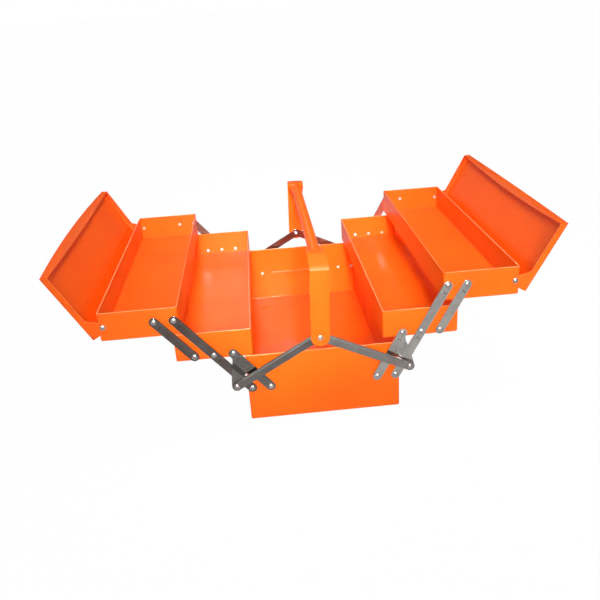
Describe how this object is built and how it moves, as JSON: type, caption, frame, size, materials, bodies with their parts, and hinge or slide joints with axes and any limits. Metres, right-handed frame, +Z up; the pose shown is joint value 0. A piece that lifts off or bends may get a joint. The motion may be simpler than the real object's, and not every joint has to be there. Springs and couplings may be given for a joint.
{
  "type": "cantilever tool box",
  "caption": "Folded steel tool box whose stacked trays swing out to both sides on riveted links, with hinged lids and a lifting handle.",
  "frame": {"origin": "middle of the flat underside of the base", "axes": "+X to the box's right, across the trays' swing; +Y from the front end to the rear end, along the trays; +Z up"},
  "size_m": [0.644, 0.4322, 0.2393],
  "materials": {
    "orange_paint": "gloss powder coat",
    "link_steel": "plain zinc-plated strip",
    "rivet": "bright plated",
    "washer": "plated"
  },
  "bodies": {
    "base": {"base_box": "orange_paint", "base_pivot_rivets": "rivet", "base_spacers": "washer"},
    "left_long_links": {"left_front_long_link": "link_steel", "left_rear_long_link": "link_steel"},
    "left_cranks": {"left_front_crank": "link_steel", "left_rear_crank": "link_steel", "left_crank_rivets": "rivet"},
    "left_middle": {"left_middle_tray": "orange_paint", "left_middle_tray_rivets": "rivet", "left_middle_tray_spacers": "washer"},
    "left_short_links": {"left_front_short_link": "link_steel", "left_rear_short_link": "link_steel"},
    "left_upper": {"left_upper_tray": "orange_paint", "left_upper_tray_rivets": "rivet", "left_upper_tray_spacers": "washer", "left_lid_hinge_rivets": "rivet"},
    "left_lid": {"left_lid": "orange_paint"},
    "left_handle_links": {"left_front_handle_link": "link_steel", "left_rear_handle_link": "link_steel", "handle_rivet_tails": "rivet"},
    "right_long_links": {"right_front_long_link": "link_steel", "right_rear_long_link": "link_steel"},
    "right_cranks": {"right_front_crank": "link_steel", "right_rear_crank": "link_steel", "right_crank_rivets": "rivet", "right_crank_spacers": "washer"},
    "right_middle": {"right_middle_tray": "orange_paint", "right_middle_tray_rivets": "rivet", "right_middle_tray_spacers": "washer"},
    "right_short_links": {"right_front_short_link": "link_steel", "right_rear_short_link": "link_steel"},
    "right_upper": {"right_upper_tray": "orange_paint", "right_upper_tray_rivets": "rivet", "right_upper_tray_spacers": "washer", "right_lid_hinge_rivets": "rivet"},
    "right_lid": {"right_lid": "orange_paint"},
    "right_handle_links": {"right_front_handle_link": "link_steel", "right_rear_handle_link": "link_steel"},
    "handle_pivots": {"handle_rivets": "rivet"},
    "handle": {"handle": "orange_paint"}
  },
  "joints": [
    {"name": "left_trays_swing", "type": "hinge", "parent": "base", "child": "left_long_links", "pos_m": [-0.0945, 0, 0.05], "axis": [0, 1, 0], "range_deg": [0, 79.63]},
    {"name": "left_crank_swing", "type": "hinge", "parent": "base", "child": "left_cranks", "pos_m": [-0.0701, 0, 0.05], "axis": [0, 1, 0], "range_deg": [0, 79.64]},
    {"name": "left_middle_tray_swing", "type": "hinge", "parent": "left_long_links", "child": "left_middle", "pos_m": [-0.1386, 0, 0.1029], "axis": [0, -1, 0], "range_deg": [0, 79.64]},
    {"name": "left_upper_tray_swing", "type": "hinge", "parent": "left_long_links", "child": "left_upper", "pos_m": [-0.1827, 0, 0.1558], "axis": [0, -1, 0], "range_deg": [0, 79.64]},
    {"name": "left_short_link_swing", "type": "hinge", "parent": "left_middle", "child": "left_short_links", "pos_m": [-0.163, 0, 0.1029], "axis": [0, 1, 0], "range_deg": [0, 79.64]},
    {"name": "left_handle_link_swing", "type": "hinge", "parent": "left_cranks", "child": "left_handle_links", "pos_m": [-0.11376, 0, 0.05709], "axis": [0, -1, 0], "range_deg": [0, 106.21]},
    {"name": "left_lid_hinge", "type": "hinge", "parent": "left_upper", "child": "left_lid", "pos_m": [-0.2697, 0, 0.1539], "axis": [0, 1, 0], "range_deg": [0, 119]},
    {"name": "right_trays_swing", "type": "hinge", "parent": "base", "child": "right_long_links", "pos_m": [0.0945, 0, 0.05], "axis": [0, -1, 0], "range_deg": [0, 69.13]},
    {"name": "right_crank_swing", "type": "hinge", "parent": "base", "child": "right_cranks", "pos_m": [0.0701, 0, 0.05], "axis": [0, -1, 0], "range_deg": [0, 69.13]},
    {"name": "right_middle_tray_swing", "type": "hinge", "parent": "right_long_links", "child": "right_middle", "pos_m": [0.1282, 0, 0.11006], "axis": [0, 1, 0], "range_deg": [0, 69.13]},
    {"name": "right_upper_tray_swing", "type": "hinge", "parent": "right_long_links", "child": "right_upper", "pos_m": [0.16191, 0, 0.17012], "axis": [0, 1, 0], "range_deg": [0, 69.13]},
    {"name": "right_short_link_swing", "type": "hinge", "parent": "right_middle", "child": "right_short_links", "pos_m": [0.1526, 0, 0.11006], "axis": [0, -1, 0], "range_deg": [0, 69.13]},
    {"name": "right_handle_link_swing", "type": "hinge", "parent": "right_cranks", "child": "right_handle_links", "pos_m": [0.11174, 0, 0.06494], "axis": [0, 1, 0], "range_deg": [0, 99.68]},
    {"name": "right_lid_hinge", "type": "hinge", "parent": "right_upper", "child": "right_lid", "pos_m": [0.24891, 0, 0.16822], "axis": [0, -1, 0], "range_deg": [0, 119]},
    {"name": "handle_lift", "type": "slide", "parent": "base", "child": "handle_pivots", "axis": [0.0382, 0, 0.9993], "range_m": [0, 0.08011]},
    {"name": "handle_tilt", "type": "hinge", "parent": "handle_pivots", "child": "handle", "pos_m": [-0.00306, 0, 0.11974], "axis": [0, 1, 0], "range_deg": [-67, 63]}
  ],
  "couplings": [
    {"joint": "left_crank_swing", "follows": "left_trays_swing", "ratio": 1},
    {"joint": "left_middle_tray_swing", "follows": "left_trays_swing", "ratio": 1},
    {"joint": "left_upper_tray_swing", "follows": "left_trays_swing", "ratio": 1},
    {"joint": "left_short_link_swing", "follows": "left_trays_swing", "ratio": 1},
    {"joint": "left_handle_link_swing", "follows": "left_trays_swing", "ratio": 1.3337},
    {"joint": "right_trays_swing", "follows": "left_trays_swing", "ratio": 0.86794},
    {"joint": "right_crank_swing", "follows": "left_trays_swing", "ratio": 0.86794},
    {"joint": "right_middle_tray_swing", "follows": "left_trays_swing", "ratio": 0.86794},
    {"joint": "right_upper_tray_swing", "follows": "left_trays_swing", "ratio": 0.86794},
    {"joint": "right_short_link_swing", "follows": "left_trays_swing", "ratio": 0.86794},
    {"joint": "right_handle_link_swing", "follows": "left_trays_swing", "ratio": 1.2517},
    {"joint": "handle_lift", "follows": "left_trays_swing", "m_per_rad": 0.05763}
  ]
}
